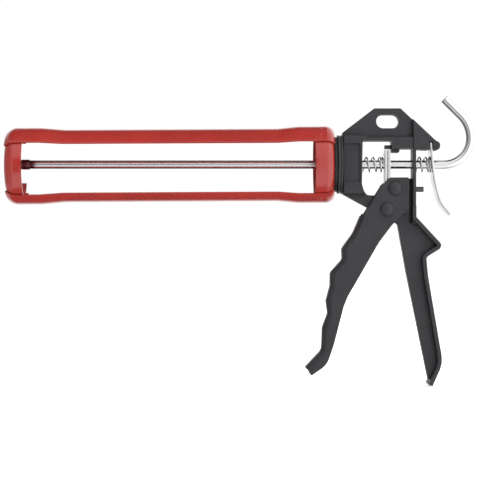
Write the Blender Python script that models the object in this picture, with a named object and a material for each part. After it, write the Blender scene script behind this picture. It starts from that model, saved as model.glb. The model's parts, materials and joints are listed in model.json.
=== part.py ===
"""Caulking gun with an open swivelling cradle, a hooked push rod and a die-cast handle.

Frame: metres, +X along the rod from the nozzle end to the hook, +Z up, handle down.
The origin is the centre of the push plate's front face with the rod fully forward.
Each sub-part is one object; an empty on the joint's axis carries what moves.
"""
import math

import bmesh
import bpy
from mathutils import Matrix, Vector

MM = 0.001
GAP = 0.3 * MM                  # running gap between neighbouring pieces

# Cradle and cartridge
CARTRIDGE_RADIUS = 24.5 * MM
CARTRIDGE_PLAY = 0.5 * MM
SHEET = 1.2 * MM                # cups and rails
CRADLE_INSIDE = 233.4 * MM      # between the inner faces of the two cup plates
PLATE_REST_GAP = 3.5 * MM       # push plate to front plate, rod fully forward
FRONT_CUP_DEPTH = 13.2 * MM
FAR_BAND_DEPTH = 11.1 * MM      # beside the gap in the front cup's band
REAR_CUP_DEPTH = 13.5 * MM
FRONT_CORNER = 9.5 * MM         # outside bend of the rails at the cradle's ends
REAR_CORNER = 7.0 * MM
NOZZLE_RADIUS = 10.5 * MM
BAND_OPENING = 30.4 * MM        # gap in the front cup's band where the nozzle drops in
BAND_RELIEF = 44.0 * MM         # height of the shallower band beside that gap
WINDOW_ANGLE = math.radians(88) # between the rails on the near side
RAIL_ANGLE = math.radians(46)   # width of a rail round the cradle
RAIL_WRAP = math.radians(58)    # how far a rail's end follows a cup's bend
FRONT_LAP = 25.0 * MM           # cradle's end to the start of the front joggle
FRONT_JOGGLE = 17.0 * MM
REAR_LAP = 25.5 * MM
REAR_JOGGLE = 14.5 * MM
CRADLE_TURN = math.radians(8)   # how far the cradle stands turned at rest
CRADLE_SAG = math.radians(0.3)  # droop of the nozzle end from play in the swivel

# Rod, push plate and hook
ROD_RADIUS = 3.0 * MM
PLATE_CLEARANCE = 2.2 * MM      # push plate's rim to the cartridge's outside
PLATE_SHEET = 2.2 * MM
PLATE_EDGE = 0.8 * MM
BOSS_RADIUS = 6.0 * MM
BOSS_LENGTH = 3.4 * MM
SOCKET_FLOOR = 1.6 * MM         # plate left in front of the rod's end
COLLAR_WALL = 0.4 * MM
COLLAR_LENGTH = 5.6 * MM
HOOK_START = 73.7 * MM          # straight rod behind the handle casting's front face
HOOK_RADIUS = 19.0 * MM
HOOK_TOP_RADIUS = 23.2 * MM
HOOK_TIP = 17.2 * MM

# Swivel between cradle and handle casting
SPIGOT_RADIUS = 8.0 * MM
SWIVEL_WASHER_RADIUS = 13.0 * MM
SWIVEL_WASHER = 1.2 * MM
NUT_ACROSS_FLATS = 24.0 * MM
NUT_LENGTH = 5.5 * MM
FRICTION_WASHER_RADIUS = 19.8 * MM
FRICTION_WASHER = 2.2 * MM
FLANGE_RADIUS = 21.2 * MM
FLANGE_LENGTH = 3.5 * MM

# Handle casting, measured back from its front face and up from the rod's axis
WEB = 5.0 * MM                  # half widths across the gun
WINDOW_RIB = 8.5 * MM
POST_RIB = 9.0 * MM
NOSE_RIB = 9.5 * MM
HUB = 11.0 * MM
RIM = 11.0 * MM
GROOVE_FLOOR = 2.0 * MM         # web left in the groove in front of the post
GROOVE = (48.0 * MM, 50.2 * MM, -42.6 * MM, -10.8 * MM)
RIM_WALL = 3.0 * MM
HUB_LENGTH = 14.1 * MM
PANEL_DEPTH = 1.4 * MM
WINDOW_TOP = 16.9 * MM
WINDOW_BOTTOM = -22.4 * MM
RIB_TOP = 19.6 * MM
POST_FRONT = 50.4 * MM
POST_BACK = 52.7 * MM
POST_ROOT = (5.0 * MM, -10.2 * MM)  # thickening in front of the post: depth, top
NOSE_UNDER = 10.8 * MM
HANG_HOLE = (24.2 * MM, 40.7 * MM, 26.0 * MM, 35.9 * MM)
HANDLE_BOTTOM = -159.8 * MM
CAST_EDGE = 0.7 * MM

# Trigger and its pins
PIVOT = (31.7 * MM, -32.6 * MM)
THRUST = (37.5 * MM, -17.5 * MM)
PIVOT_PIN_RADIUS = 3.0 * MM
PIVOT_BOSS_RADIUS = 7.0 * MM
PIN_HEAD_RADIUS = 4.8 * MM
PIN_HEAD = 2.3 * MM
CHEEK_OUTSIDE = 9.0 * MM
CHEEK_INSIDE = 7.0 * MM
TRIGGER_WALL = 3.0 * MM
TRIGGER_STEP = 0.6 * MM         # how much narrower the finger wall is, each side
FINGER_EDGE_CUT = 2.2 * MM      # chamfer down the finger wall's front edges
TRIGGER_DROP = -152.2 * MM

# Drive plates and springs
DRIVE_PLATE = 2.1 * MM
DRIVE_HALF_WIDTH = 6.2 * MM
DRIVE_TOP = 10.1 * MM
DRIVE_BOTTOM = -21.0 * MM
THRUST_PIN_RADIUS = 2.6 * MM
SPRING_WIRE = 0.6 * MM          # radius of the wire
SPRING_CLEARANCE = 1.7 * MM     # rod to the inside of the coils
MAIN_TURNS = (2.6, 1.1)         # open coils, closed coils at the moving end
RELEASE_TURNS = (1.9, 1.1)

# Release lever
LEVER_SHEET = 1.8 * MM
LEVER_HALF_WIDTH = 8.5 * MM
LEVER_PIVOT = (63.35 * MM, 15.0 * MM)
STOP_PIN_RADIUS = 1.9 * MM
STOP_PIN_HEIGHT = -17.9 * MM
STOP_PIN_PROUD = 6.2 * MM
STOP_PIN_DEPTH = 1.8 * MM

# Places that follow from the sizes above
CUP_INSIDE = CARTRIDGE_RADIUS + CARTRIDGE_PLAY
PLATE_RADIUS = CARTRIDGE_RADIUS - PLATE_CLEARANCE
CUP_RADIUS = CUP_INSIDE + SHEET
RAIL_LAP_RADIUS = CUP_RADIUS + GAP + SHEET
FRONT_PLATE_IN = -PLATE_REST_GAP
FRONT_PLATE_OUT = FRONT_PLATE_IN - SHEET
REAR_PLATE_IN = FRONT_PLATE_IN + CRADLE_INSIDE
REAR_PLATE_OUT = REAR_PLATE_IN + SHEET
FLANGE_FRONT = REAR_PLATE_OUT + GAP + FRICTION_WASHER + GAP
HEAD_FRONT = FLANGE_FRONT + FLANGE_LENGTH + GAP
SPIGOT_END = REAR_PLATE_IN - GAP - SWIVEL_WASHER - GAP - NUT_LENGTH - 2 * GAP
ROD_HOLE = ROD_RADIUS + GAP
PLATE_HOLE = ROD_RADIUS + 2 * GAP
PIN_HOLE = GAP                  # added to a pin's radius
SPRING_RADIUS = ROD_RADIUS + SPRING_CLEARANCE + SPRING_WIRE
DRIVE_REAR = THRUST[0] - THRUST_PIN_RADIUS - GAP
DRIVE_FRONT = DRIVE_REAR - 2 * DRIVE_PLATE - GAP

PAINT_RED = (0.50, 0.035, 0.03)
CAST_BLACK = (0.045, 0.045, 0.05)
CHROME = (0.75, 0.75, 0.77)
ZINC = (0.62, 0.63, 0.65)
STEEL = (0.30, 0.30, 0.31)


# ---------------------------------------------------------------- outlines

def rounded(corners, closed=True, step=math.radians(18)):
    """Points of an outline whose corners (x, z, radius) are rounded with arcs."""
    points = []
    count = len(corners)
    for index, (x, z, radius) in enumerate(corners):
        here = Vector((x, z))
        at_end = not closed and index in (0, count - 1)
        if radius <= 0 or at_end:
            points.append(here)
            continue
        before = (Vector(corners[index - 1][:2]) - here).normalized()
        after = (Vector(corners[(index + 1) % count][:2]) - here).normalized()
        opening = before.angle(after)
        turn = math.pi - opening
        reach = radius / math.tan(opening / 2)
        centre = here + (before + after).normalized() * (radius / math.sin(opening / 2))
        start = here + before * reach
        side = 1 if before.cross(after) < 0 else -1
        arm = start - centre
        parts = max(1, math.ceil(turn / step))
        for part in range(parts + 1):
            angle = side * turn * part / parts
            points.append(centre + Matrix.Rotation(angle, 2) @ arm)
    return points


def shifted(corners, distance):
    """An open run of corners moved sideways, to the left of its direction."""
    result = []
    last = len(corners) - 1
    places = [Vector(corner[:2]) for corner in corners]
    for index, (x, z, radius) in enumerate(corners):
        incoming = places[max(index, 1)] - places[max(index, 1) - 1]
        outgoing = places[min(index, last - 1) + 1] - places[min(index, last - 1)]
        left_in = Vector((-incoming.y, incoming.x)).normalized()
        left_out = Vector((-outgoing.y, outgoing.x)).normalized()
        move = (left_in + left_out) * (distance / (1 + left_in.dot(left_out)))
        turning_left = incoming.cross(outgoing) > 0
        grown = radius - distance if turning_left else radius + distance
        if radius <= 0:
            grown = 0
        result.append((x + move.x, z + move.y, max(grown, 0.2 * MM if radius > 0 else 0)))
    return result


def from_head(corners):
    """Corners measured from the handle casting's front face, in the gun's frame."""
    return [(HEAD_FRONT + corner[0], *corner[1:]) for corner in corners]


# ---------------------------------------------------------------- objects

def material(name, colour, metallic, roughness):
    found = bpy.data.materials.get(name)
    if found:
        return found
    made = bpy.data.materials.new(name)
    made.use_nodes = True
    shader = made.node_tree.nodes["Principled BSDF"]
    shader.inputs["Base Color"].default_value = (*colour, 1)
    shader.inputs["Metallic"].default_value = metallic
    shader.inputs["Roughness"].default_value = roughness
    return made


def finish_object(name, mesh, look, smooth=35):
    """Adds a mesh to the scene as a named object with its material."""
    if look:
        mesh.materials.append(material(*look))
    mesh.shade_smooth()
    mesh.set_sharp_from_angle(angle=math.radians(smooth))
    thing = bpy.data.objects.new(name, mesh)
    bpy.context.scene.collection.objects.link(thing)
    return thing


def to_mesh(name, work):
    bmesh.ops.recalc_face_normals(work, faces=work.faces)
    mesh = bpy.data.meshes.new(name)
    work.to_mesh(mesh)
    work.free()
    return mesh


def prism(name, outline, low, high, look=None, edge=0.0, first=None):
    """A flat outline in X and Z, given thickness from low to high along Y.

    edge is the chamfer round both faces, or along only the first few corners of them.
    """
    work = bmesh.new()
    corners = [work.verts.new((point[0], low, point[1])) for point in outline]
    face = work.faces.new(corners)
    grown = bmesh.ops.extrude_face_region(work, geom=[face])
    new_verts = [item for item in grown["geom"] if isinstance(item, bmesh.types.BMVert)]
    bmesh.ops.translate(work, verts=new_verts, vec=(0, high - low, 0))
    if edge > 0:
        wanted = {(corner.co.x, corner.co.z) for corner in corners[:first]}
        flat = [item for item in work.edges if item.verts[0].co.y == item.verts[1].co.y
                and all((vert.co.x, vert.co.z) in wanted for vert in item.verts)]
        bmesh.ops.bevel(work, geom=flat, offset=edge, segments=1, profile=0.5,
                        affect="EDGES", material=-1, clamp_overlap=True)
    return finish_object(name, to_mesh(name, work), look)


def turned(name, profile, look=None, steps=40, start=0.0, sweep=2 * math.pi):
    """A closed profile of (x, radius) points turned about the rod's axis."""
    work = bmesh.new()
    first = [work.verts.new((x, 0, radius)) for x, radius in profile]
    full = sweep > 2 * math.pi - 0.001
    if full:
        count = len(first)
        shape = [work.edges.new((first[i], first[(i + 1) % count])) for i in range(count)]
    else:
        shape = [work.faces.new(first)]
    turn_to_start = Matrix.Rotation(start, 3, "X")
    bmesh.ops.rotate(work, verts=work.verts, cent=(0, 0, 0), matrix=turn_to_start)
    geom = first + shape if full else first + list(work.edges) + shape
    bmesh.ops.spin(work, geom=geom, cent=(0, 0, 0), axis=(1, 0, 0), angle=sweep,
                   steps=steps, use_merge=full)
    bmesh.ops.remove_doubles(work, verts=work.verts, dist=0.001 * MM)
    return finish_object(name, to_mesh(name, work), look)


def across(thing, x, z):
    """Turns a piece made about the rod's axis to lie across the gun at (x, z)."""
    turn = Matrix.Rotation(math.radians(90), 4, "Z")
    thing.data.transform(Matrix.Translation((x, 0, z)) @ turn)
    return thing


def rod_shape(name, radius, low, high, steps=24):
    """A plain cylinder about the rod's axis."""
    work = bmesh.new()
    bmesh.ops.create_cone(work, cap_ends=True, segments=steps, radius1=radius,
                          radius2=radius, depth=high - low)
    bmesh.ops.rotate(work, verts=work.verts, cent=(0, 0, 0),
                     matrix=Matrix.Rotation(math.radians(90), 3, "Y"))
    bmesh.ops.translate(work, verts=work.verts, vec=((low + high) / 2, 0, 0))
    return finish_object(name, to_mesh(name, work), None)


def wire(name, points, radius, look, sides):
    """Round wire along a run of points, with closed ends."""
    line = bpy.data.curves.new(name, "CURVE")
    line.dimensions = "3D"
    line.bevel_depth = radius
    line.bevel_resolution = sides
    line.use_fill_caps = True
    spline = line.splines.new("POLY")
    spline.points.add(len(points) - 1)
    for slot, point in zip(spline.points, points):
        slot.co = (*point, 1)
        slot.radius = 1.0
    line.materials.append(material(*look))
    thing = bpy.data.objects.new(name, line)
    bpy.context.scene.collection.objects.link(thing)
    return thing


def combine(thing, other, operation):
    """Joins or cuts with a helper object that isn't itself part of the gun."""
    other.hide_render = True
    other.display_type = "WIRE"
    step = thing.modifiers.new(other.name, "BOOLEAN")
    step.operation = operation
    step.solver = "EXACT"
    step.object = other
    return thing


def cut(thing, other):
    return combine(thing, other, "DIFFERENCE")


def join(thing, other):
    return combine(thing, other, "UNION")


def empty(name, place):
    axis = bpy.data.objects.new(name, None)
    axis.location = place
    axis.empty_display_size = 10 * MM
    bpy.context.scene.collection.objects.link(axis)
    return axis


def carry(axis, *things):
    """Parents pieces to a joint's empty without moving them."""
    for thing in things:
        thing.parent = axis
        thing.matrix_parent_inverse = Matrix.Translation(-axis.location)


RED_PAINT = ("red_paint", PAINT_RED, 0.0, 0.3)
BLACK_COAT = ("black_coat", CAST_BLACK, 0.0, 0.55)
BRIGHT_CHROME = ("chrome", CHROME, 1.0, 0.15)
ZINC_PLATE = ("zinc_plate", ZINC, 1.0, 0.3)
BARE_STEEL = ("steel", STEEL, 1.0, 0.35)
BLACK_NYLON = ("nylon", (0.02, 0.02, 0.02), 0.0, 0.6)


# ---------------------------------------------------------------- cradle

def cup_profile(plate_out, mouth, hole, corner):
    """Section of a cup: a plate with a hole, a rounded corner and a band."""
    away = 1 if mouth > plate_out else -1
    bend = corner - SHEET - GAP
    outer = [(plate_out, hole, 0), (plate_out, CUP_RADIUS, bend), (mouth, CUP_RADIUS, 0)]
    plate_in = plate_out + away * SHEET
    inner = [(mouth, CUP_INSIDE, 0), (plate_in, CUP_INSIDE, bend - SHEET), (plate_in, hole, 0)]
    return [tuple(point) for run in (outer, inner) for point in rounded(run, False)]


def front_cup():
    """Cup at the nozzle end, open on its far side so that the nozzle can drop in."""
    mouth = FRONT_PLATE_OUT + FRONT_CUP_DEPTH
    cup = turned("front_cup", cup_profile(FRONT_PLATE_OUT, mouth, NOZZLE_RADIUS, FRONT_CORNER),
                 RED_PAINT)
    far = 2 * CUP_RADIUS
    slot_z = NOZZLE_RADIUS
    slot = prism("nozzle_slot", [(2 * FRONT_PLATE_OUT, -slot_z), (FRONT_CUP_DEPTH, -slot_z),
                                 (FRONT_CUP_DEPTH, slot_z), (2 * FRONT_PLATE_OUT, slot_z)],
                 0, far)
    half = BAND_OPENING / 2
    relief = BAND_RELIEF / 2
    behind_plate = FRONT_PLATE_IN + FRONT_CORNER / 2
    shallow = FRONT_PLATE_OUT + FAR_BAND_DEPTH
    past = 2 * FRONT_CUP_DEPTH
    lip = 1.5 * MM
    opening = prism("band_opening", rounded([
        (behind_plate, -half, 0), (shallow, -half, lip), (shallow, -relief, 0), (past, -relief, 0),
        (past, relief, 0), (shallow, relief, 0), (shallow, half, lip), (behind_plate, half, 0)]),
        NOZZLE_RADIUS, far)
    cut(cup, slot)
    cut(cup, opening)
    return cup, slot, opening


def rear_cup():
    mouth = REAR_PLATE_OUT - REAR_CUP_DEPTH
    return turned("rear_cup", cup_profile(REAR_PLATE_OUT, mouth, SPIGOT_RADIUS + GAP, REAR_CORNER),
                  RED_PAINT)


def rail_end(plate_out, corner, inset, outwards):
    """Where a rail's end turns down, where it stops, how far it drops, and its bend."""
    bend = corner - inset
    reach = bend * math.tan(RAIL_WRAP / 2)
    turn_at = plate_out + outwards * (GAP + SHEET - corner + reach)
    stop_at = turn_at + outwards * reach * math.cos(RAIL_WRAP)
    return turn_at, stop_at, reach * math.sin(RAIL_WRAP), bend


def rail_line(inset):
    """Run of a rail from one cup's bend to the other's, moved in by inset."""
    front_turn, front_stop, front_drop, front_bend = rail_end(FRONT_PLATE_OUT, FRONT_CORNER,
                                                              inset, -1)
    rear_turn, rear_stop, rear_drop, rear_bend = rail_end(REAR_PLATE_OUT, REAR_CORNER, inset, 1)
    lap = RAIL_LAP_RADIUS - inset
    middle = CUP_RADIUS - inset
    ease = 30 * MM
    return rounded([(front_stop, lap - front_drop, 0), (front_turn, lap, front_bend),
                    (FRONT_PLATE_OUT + FRONT_LAP, lap, ease),
                    (FRONT_PLATE_OUT + FRONT_LAP + FRONT_JOGGLE, middle, ease),
                    (REAR_PLATE_OUT - REAR_LAP - REAR_JOGGLE, middle, ease),
                    (REAR_PLATE_OUT - REAR_LAP, lap, ease),
                    (rear_turn, lap, rear_bend), (rear_stop, lap - rear_drop, 0)], False)


def rail(name, start):
    """One bowed rail that laps both cups."""
    profile = [tuple(point) for point in rail_line(0) + rail_line(SHEET)[::-1]]
    return turned(name, profile, RED_PAINT, steps=10, start=start, sweep=RAIL_ANGLE)


def build_cradle():
    """The cradle is modelled upright, then turned and sagged about the swivel's centre."""
    swivel = (REAR_PLATE_OUT, 0, 0)
    axis = empty("cradle_axis", swivel)
    near_side = math.radians(90)
    top_start = near_side - WINDOW_ANGLE / 2 - RAIL_ANGLE
    bottom_start = near_side + WINDOW_ANGLE / 2
    carry(axis, *front_cup(), rear_cup(), rail("top_rail", top_start),
          rail("bottom_rail", bottom_start))
    axis.rotation_euler = (CRADLE_TURN, -CRADLE_SAG, 0)


# ---------------------------------------------------------------- rod

def push_plate():
    """Round plate with a boss that takes the rod's end in a blind socket."""
    boss_end = PLATE_SHEET + BOSS_LENGTH
    socket = ROD_RADIUS + GAP
    face = rounded([(0, 0, 0), (0, PLATE_RADIUS, PLATE_EDGE),
                    (PLATE_SHEET, PLATE_RADIUS, PLATE_EDGE), (PLATE_SHEET, BOSS_RADIUS, PLATE_EDGE),
                    (boss_end, BOSS_RADIUS, PLATE_EDGE), (boss_end, socket, 0),
                    (SOCKET_FLOOR, socket, 0), (SOCKET_FLOOR, 0, 0)], False)
    return turned("push_plate", [tuple(point) for point in face], ZINC_PLATE, steps=36)


def rod_centre_line():
    """The straight rod, then the hook that bends up and forwards over the nose."""
    start = SOCKET_FLOOR + GAP
    bend_start = HEAD_FRONT + HOOK_START
    line = [Vector((start, 0)), Vector((bend_start, 0))]
    parts = 8
    for part in range(1, parts + 1):
        angle = math.radians(90) * part / parts
        line.append(Vector((bend_start + HOOK_RADIUS * math.sin(angle),
                            HOOK_RADIUS * (1 - math.cos(angle)))))
    crown = line[-1]
    parts = 5
    for part in range(1, parts + 1):
        angle = math.radians(45) * part / parts
        line.append(crown + HOOK_TOP_RADIUS * Vector((math.cos(angle) - 1, math.sin(angle))))
    line.append(line[-1] + HOOK_TIP * Vector((-1, 1)).normalized())
    return [(point.x, 0, point.y) for point in line]


def build_rod():
    slide = empty("rod_axis", (0, 0, 0))
    rod = wire("push_rod", rod_centre_line(), ROD_RADIUS, BRIGHT_CHROME, 5)
    start = PLATE_SHEET + BOSS_LENGTH + GAP
    bore = ROD_RADIUS + 0.8 * GAP
    wall = bore + COLLAR_WALL
    collar = turned("rod_collar", [(start, bore), (start, wall), (start + COLLAR_LENGTH, wall),
                                   (start + COLLAR_LENGTH, bore)], BRIGHT_CHROME, steps=24)
    carry(slide, push_plate(), rod, collar)


# ---------------------------------------------------------------- swivel

def ring(name, low, high, bore, radius, look, edge=0.3 * MM, steps=40):
    profile = [(low, bore), (low, radius - edge), (low + edge, radius), (high - edge, radius),
               (high, radius - edge), (high, bore)]
    return turned(name, profile, look, steps=steps)


def build_swivel():
    bore = SPIGOT_RADIUS + GAP
    ring("swivel_flange", FLANGE_FRONT, FLANGE_FRONT + FLANGE_LENGTH, bore, FLANGE_RADIUS,
         BLACK_COAT, edge=0.8 * MM)
    ring("friction_washer", REAR_PLATE_OUT + GAP, REAR_PLATE_OUT + GAP + FRICTION_WASHER, bore,
         FRICTION_WASHER_RADIUS, BLACK_NYLON)
    washer_rear = REAR_PLATE_IN - GAP
    ring("swivel_washer", washer_rear - SWIVEL_WASHER, washer_rear, bore, SWIVEL_WASHER_RADIUS,
         ZINC_PLATE, steps=32)
    nut_rear = washer_rear - SWIVEL_WASHER - GAP
    corner = NUT_ACROSS_FLATS / 2 / math.cos(math.radians(30))
    nut = turned("swivel_nut", [(nut_rear - NUT_LENGTH, 0), (nut_rear - NUT_LENGTH, corner),
                                (nut_rear, corner), (nut_rear, 0)], ZINC_PLATE, steps=6)
    hole = rod_shape("nut_thread", bore, nut_rear - 2 * NUT_LENGTH, nut_rear + NUT_LENGTH, 32)
    cut(nut, hole)


# ---------------------------------------------------------------- handle casting

BACK_EDGE = [(POST_BACK, -30.0 * MM, 0), (POST_BACK, -38.1 * MM, 1.5 * MM),
             (72.3 * MM, -59.2 * MM, 3.4 * MM), (59.8 * MM, -67.0 * MM, 3.0 * MM),
             (61.0 * MM, -80.0 * MM, 60 * MM), (71.8 * MM, -143.0 * MM, 18 * MM),
             (64.2 * MM, HANDLE_BOTTOM, 0)]
FRONT_EDGE = [(62.0 * MM, HANDLE_BOTTOM + 4.0 * MM, 1.0 * MM), (46.1 * MM, -78.0 * MM, 80 * MM),
              (39.9 * MM, -43.2 * MM, 2.0 * MM), (0.0 * MM, -21.5 * MM, 0.5 * MM)]
HEAD_EDGE = [(0.0 * MM, 22.9 * MM, 0.5 * MM), (22.9 * MM, 40.4 * MM, 1.5 * MM),
             (41.9 * MM, 40.4 * MM, 1.5 * MM), (66.6 * MM, 17.2 * MM, 2.0 * MM),
             (70.5 * MM, 15.0 * MM, 3.0 * MM), (69.2 * MM, 10.0 * MM, 2.5 * MM)]


def rim_band():
    """The wide flange down the back of the handle, one wall thick."""
    outer = BACK_EDGE
    inner = shifted(outer, -RIM_WALL)
    band = rounded(from_head(outer), False) + rounded(from_head(inner), False)[::-1]
    return prism("rim_band", band, -RIM, RIM, edge=CAST_EDGE)


def window_outline():
    """Opening round the springs and drive plates, with the fulcrum lump in its top edge."""
    lump_front = THRUST[0] - THRUST_PIN_RADIUS + 0.5 * MM
    lump_back = 41.0 * MM
    shoulder = 11.2 * MM
    return rounded(from_head([
        (HUB_LENGTH, WINDOW_TOP, 1.0 * MM), (lump_front, WINDOW_TOP, 0.6 * MM),
        (lump_front, 8.5 * MM, 0.8 * MM), (lump_back, 8.5 * MM, 0.8 * MM),
        (lump_back, shoulder, 0.5 * MM), (POST_FRONT, shoulder, 0.6 * MM),
        (POST_FRONT, POST_ROOT[1], 0.6 * MM), (POST_FRONT - POST_ROOT[0], POST_ROOT[1], 1.0 * MM),
        (POST_FRONT - POST_ROOT[0], WINDOW_BOTTOM, 1.0 * MM),
        (HUB_LENGTH + 1.6 * MM, WINDOW_BOTTOM, 5.5 * MM),
        (HUB_LENGTH - 0.6 * MM, -14.0 * MM, 3.0 * MM)]))


def box_outline(left, right, low, high, radius=0.0):
    return rounded(from_head([(left, low, radius), (right, low, radius), (right, high, radius),
                              (left, high, radius)]))


def handle_casting():
    """Head, window, post and handle, cast in one piece with a spigot for the swivel."""
    back = BACK_EDGE[1:-1]
    foot = (BACK_EDGE[-1][0] + 1.0 * MM, HANDLE_BOTTOM + 6.0 * MM, 0)
    web = HEAD_EDGE + [(POST_BACK, NOSE_UNDER, 0)] + back + [foot] + FRONT_EDGE
    casting = prism("handle_casting", rounded(from_head(web)), -WEB, WEB, BLACK_COAT, CAST_EDGE)

    crest, brow = HEAD_EDGE[2], HEAD_EDGE[3]
    along_slope = (POST_FRONT - crest[0]) / (brow[0] - crest[0])
    head_slope = crest[1] + (brow[1] - crest[1]) * along_slope
    nose = [(POST_FRONT, NOSE_UNDER, 0), (POST_FRONT, head_slope, 0)] + HEAD_EDGE[3:]
    helpers = [
        prism("nose_block", rounded(from_head(nose)), -NOSE_RIB, NOSE_RIB, edge=CAST_EDGE),
        prism("post_flange", box_outline(POST_FRONT, POST_BACK, -43.0 * MM, 14.0 * MM),
              -POST_RIB, POST_RIB, edge=0.4 * MM),
        prism("window_rib", box_outline(1.0 * MM, POST_BACK - 1.0 * MM, NOSE_UNDER - 0.2 * MM,
                                        RIB_TOP), -WINDOW_RIB, WINDOW_RIB, edge=0.4 * MM),
        prism("hub_block", box_outline(0, HUB_LENGTH + 3.0 * MM, WINDOW_BOTTOM + 1.0 * MM,
                                       RIB_TOP + 1.0 * MM, 1.0 * MM), -HUB, HUB, edge=CAST_EDGE),
        rim_band(),
        across(rod_shape("pivot_boss", PIVOT_BOSS_RADIUS, -CHEEK_INSIDE + GAP,
                         CHEEK_INSIDE - GAP), HEAD_FRONT + PIVOT[0], PIVOT[1]),
        rod_shape("spigot", SPIGOT_RADIUS, SPIGOT_END, HEAD_FRONT + 2 * MM, 40),
    ]
    for helper in helpers:
        join(casting, helper)

    wide = 2 * RIM
    panel = box_outline(1.7 * MM, HUB_LENGTH - 1.6 * MM, -13.2 * MM, 14.8 * MM, 1.2 * MM)
    far_panel = box_outline(1.8 * MM, HUB_LENGTH - 1.7 * MM, -13.1 * MM, 14.7 * MM, 1.0 * MM)
    slot_mouth = 9.0 * MM
    groove = box_outline(*GROOVE, 0.8 * MM)
    slot = from_head([(LEVER_PIVOT[0] - 1.35 * MM, 16.4 * MM), (LEVER_PIVOT[0] + 1.3 * MM, 16.4 * MM),
                      (LEVER_PIVOT[0] + 1.85 * MM, slot_mouth),
                      (LEVER_PIVOT[0] - 1.65 * MM, slot_mouth)])
    left, right, low, high = HANG_HOLE
    hole_round = (high - low) / 2 - 0.05 * MM
    bore_start = SPIGOT_END - 5 * MM
    bore_end = HEAD_FRONT + POST_BACK + 5 * MM
    cutters = [
        prism("window", window_outline(), -wide, wide),
        prism("hanging_hole", box_outline(left, right, low, high, hole_round), -wide, wide),
        prism("lever_slot", slot, -wide, wide),
        prism("near_panel", panel, -wide, -HUB + PANEL_DEPTH),
        prism("far_panel", far_panel, HUB - PANEL_DEPTH, wide),
        prism("near_groove", groove, -2 * RIM, -GROOVE_FLOOR),
        prism("far_groove", groove, GROOVE_FLOOR, 2 * RIM),
        rod_shape("rod_bore", ROD_HOLE, bore_start, bore_end),
        across(rod_shape("pivot_bore", PIVOT_PIN_RADIUS + PIN_HOLE, -wide, wide),
               HEAD_FRONT + PIVOT[0], PIVOT[1]),
    ]
    stop_hole = rod_shape("stop_hole", STOP_PIN_RADIUS + PIN_HOLE,
                          HEAD_FRONT + POST_BACK - STOP_PIN_DEPTH - GAP,
                          HEAD_FRONT + POST_BACK + 5 * MM, 16)
    stop_hole.location.z = STOP_PIN_HEIGHT
    cutters.append(stop_hole)
    for cutter in cutters:
        cut(casting, cutter)

    finger = prism("fulcrum_finger", box_outline(30.7 * MM, 36.4 * MM, 11.3 * MM, 13.8 * MM),
                   -WEB + 0.5 * MM, WEB - 0.5 * MM)
    join(casting, finger)


def stop_pin():
    end = HEAD_FRONT + POST_BACK + STOP_PIN_PROUD
    start = HEAD_FRONT + POST_BACK - STOP_PIN_DEPTH
    edge = 0.4 * MM
    pin = turned("stop_pin", [(start, 0), (start, STOP_PIN_RADIUS), (end - edge, STOP_PIN_RADIUS),
                              (end, STOP_PIN_RADIUS - edge), (end, 0)], BARE_STEEL, steps=16)
    pin.location.z = STOP_PIN_HEIGHT


# ---------------------------------------------------------------- trigger

FINGER_EDGE = [(13.6 * MM, -35.2 * MM, 0.8 * MM), (7.6 * MM, -49.5 * MM, 12.0 * MM),
               (-0.6 * MM, -60.8 * MM, 3.0 * MM), (-0.2 * MM, -68.5 * MM, 4.0 * MM),
               (-8.9 * MM, -78.2 * MM, 3.0 * MM), (-9.0 * MM, -87.5 * MM, 5.0 * MM),
               (-12.0 * MM, -98.5 * MM, 4.0 * MM), (-10.8 * MM, -107.5 * MM, 4.0 * MM),
               (-14.7 * MM, -118.0 * MM, 5.0 * MM), (-15.2 * MM, -134.0 * MM, 7.0 * MM),
               (-27.0 * MM, TRIGGER_DROP + 5.7 * MM, 0)]


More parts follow.
